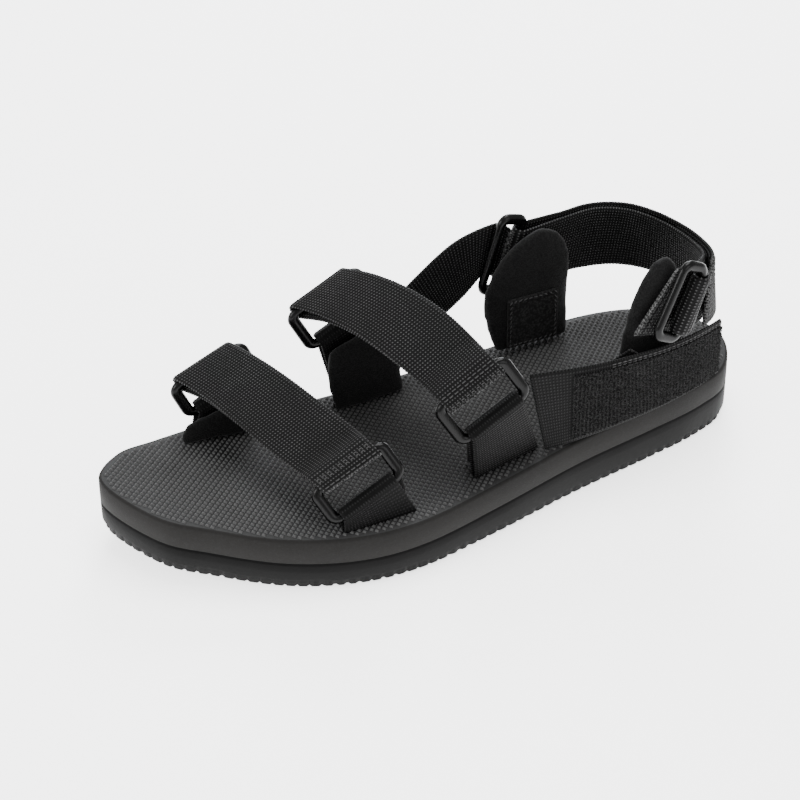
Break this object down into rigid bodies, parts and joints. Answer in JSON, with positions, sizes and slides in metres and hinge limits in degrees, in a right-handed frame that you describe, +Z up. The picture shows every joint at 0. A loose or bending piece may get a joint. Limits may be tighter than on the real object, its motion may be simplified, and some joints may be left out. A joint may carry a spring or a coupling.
{
  "type": "strappy sport sandal",
  "caption": "Open sport sandal for a left foot: foam sole, adjustable forefoot, instep and heel straps of webbing on plastic rings, padded anchors and an ankle side band.",
  "frame": {"origin": "on the ground under the middle of the sole's length, below the foot's long axis", "axes": "+Z up; -Y towards the toe and +Y towards the heel; +X towards the outer side of the foot"},
  "size_m": [0.0991, 0.28, 0.097],
  "materials": {
    "footbed": "matte closed-cell foam, fine diamond texture on top",
    "outsole": "matte rubber foam with tread",
    "webbing": "ribbed nylon webbing with a slight sheen",
    "neoprene": "matte jersey-faced foam",
    "ring_plastic": "glossy moulded plastic",
    "hook_and_loop": "hook or loop pile"
  },
  "bodies": {
    "sandal": {"outsole": "outsole", "footbed": "footbed", "fore_anchor_lateral": "webbing", "fore_anchor_medial": "webbing", "fore_ring_lateral": "ring_plastic", "fore_ring_medial": "ring_plastic", "fore_pad_lateral": "neoprene", "fore_pad_medial": "neoprene", "fore_strap": "webbing", "fore_loop": "hook_and_loop", "instep_anchor_lateral": "webbing", "instep_anchor_medial": "webbing", "instep_ring_lateral": "ring_plastic", "instep_ring_medial": "ring_plastic", "instep_pad_lateral": "neoprene", "instep_pad_medial": "neoprene", "instep_strap": "webbing", "instep_loop": "hook_and_loop", "stay_medial": "webbing", "stay_lateral": "webbing", "ankle_pad_medial": "neoprene", "ankle_pad_lateral": "neoprene", "ankle_patch": "neoprene", "ankle_ring_medial": "ring_plastic", "ankle_ring_lateral": "ring_plastic", "ring_keeper": "webbing", "heel_strap": "webbing", "heel_loop": "hook_and_loop", "band_root": "webbing"},
    "fore_flap_body": {"fore_flap": "webbing", "fore_hook": "hook_and_loop"},
    "instep_flap_body": {"instep_flap": "webbing", "instep_hook": "hook_and_loop"},
    "heel_flap_body": {"heel_flap": "webbing", "heel_hook": "hook_and_loop"},
    "side_band_body": {"side_band": "webbing", "band_pile": "hook_and_loop"}
  },
  "joints": [
    {"name": "fore_flap_peel", "type": "hinge", "parent": "sandal", "child": "fore_flap_body", "pos_m": [-0.03347, -0.08338, 0.05964], "axis": [0.0036, -0.9115, -0.4112], "range_deg": [0, 110]},
    {"name": "instep_flap_peel", "type": "hinge", "parent": "sandal", "child": "instep_flap_body", "pos_m": [-0.02987, -0.03241, 0.08371], "axis": [0.0018, -0.8865, -0.4627], "range_deg": [0, 110]},
    {"name": "heel_flap_peel", "type": "hinge", "parent": "sandal", "child": "heel_flap_body", "pos_m": [-0.03649, 0.10234, 0.07126], "axis": [0.0888, 0.1069, 0.9903], "range_deg": [0, 75]},
    {"name": "side_band_peel", "type": "hinge", "parent": "sandal", "child": "side_band_body", "pos_m": [0.0381, 0.05054, 0.04517], "axis": [0.0617, -0.0301, -0.9976], "range_deg": [0, 60]}
  ]
}
